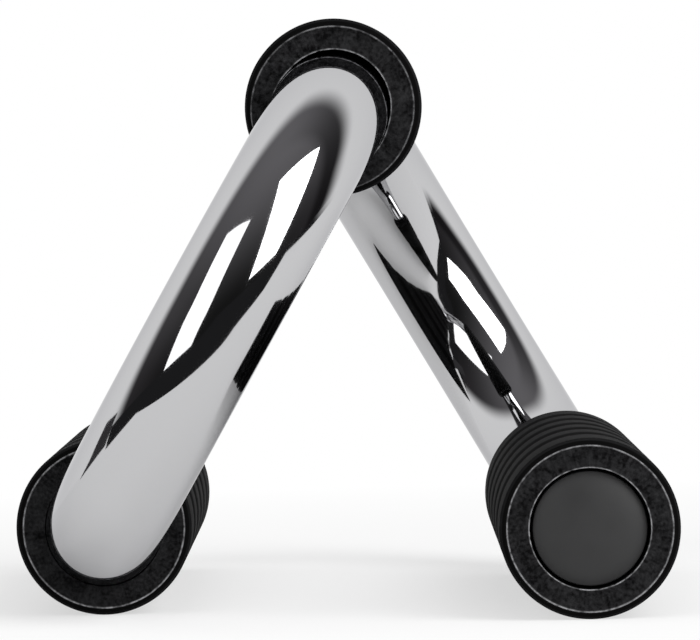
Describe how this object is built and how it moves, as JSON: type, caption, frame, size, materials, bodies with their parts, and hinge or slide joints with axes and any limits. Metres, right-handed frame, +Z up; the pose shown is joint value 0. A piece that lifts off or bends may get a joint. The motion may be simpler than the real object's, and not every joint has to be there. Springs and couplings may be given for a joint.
{
  "type": "parallette bar",
  "caption": "Low S-shaped gymnastics bar of bent chromed tube, with a foam handle and foam feet, for push-ups and handstands on the floor.",
  "frame": {"origin": "on the floor, midway between the two feet, under the middle of the handle", "axes": "+Z up, +Y along the handle away from the left foot's bend, +X towards the right foot"},
  "size_m": [0.1434, 0.2334, 0.1294],
  "materials": {
    "chrome": "polished chrome plating",
    "foam": "closed-cell foam with a smooth skin",
    "plug_plastic": "moulded, satin"
  },
  "bodies": {
    "root": {"bent_tube": "chrome", "handle_sleeve": "foam", "left_foot_sleeve": "foam", "right_foot_sleeve": "foam", "left_end_plug": "plug_plastic", "right_end_plug": "plug_plastic"}
  },
  "joints": []
}
